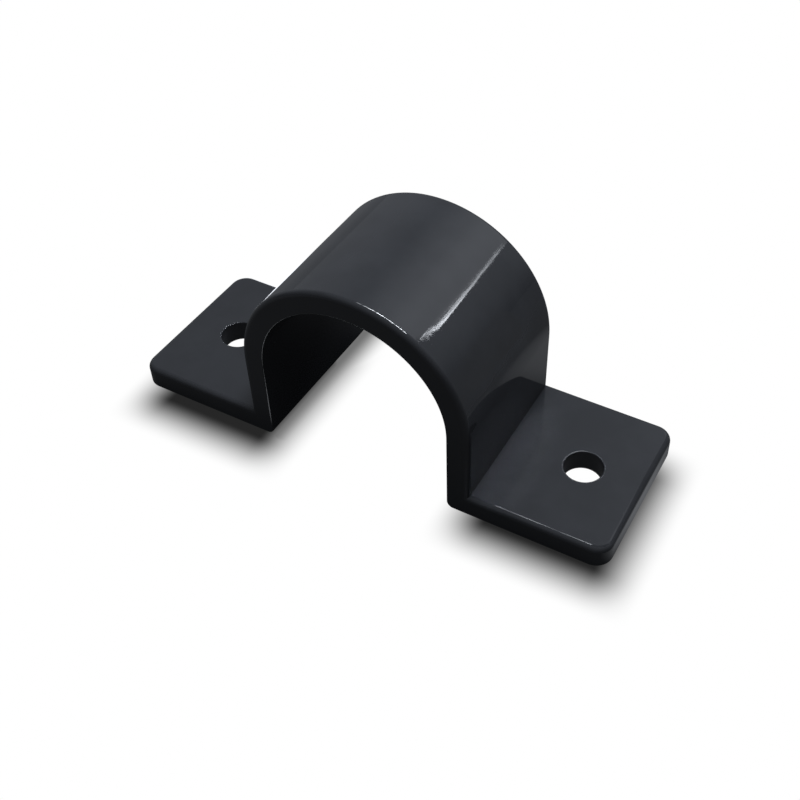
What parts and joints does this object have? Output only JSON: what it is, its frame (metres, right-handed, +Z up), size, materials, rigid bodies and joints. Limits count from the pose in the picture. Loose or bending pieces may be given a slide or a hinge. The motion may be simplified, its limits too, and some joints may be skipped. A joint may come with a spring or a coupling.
{
  "type": "pipe saddle clip",
  "caption": "Pipe saddle clip: a flat steel bar bent into a half-round arch with a drilled foot on each side, for fixing a pipe to a flat surface.",
  "frame": {"origin": "middle of the clip on the plane of the feet's undersides, where it meets the surface it is screwed to", "axes": "+X along the clip from foot to foot, +Y along the pipe it holds, +Z up from the mounting surface through the top of the arch"},
  "size_m": [0.09, 0.03, 0.0368],
  "materials": {
    "powder_coat": "satin gloss powder coat"
  },
  "bodies": {
    "root": {"saddle_clip": "powder_coat"}
  },
  "joints": []
}
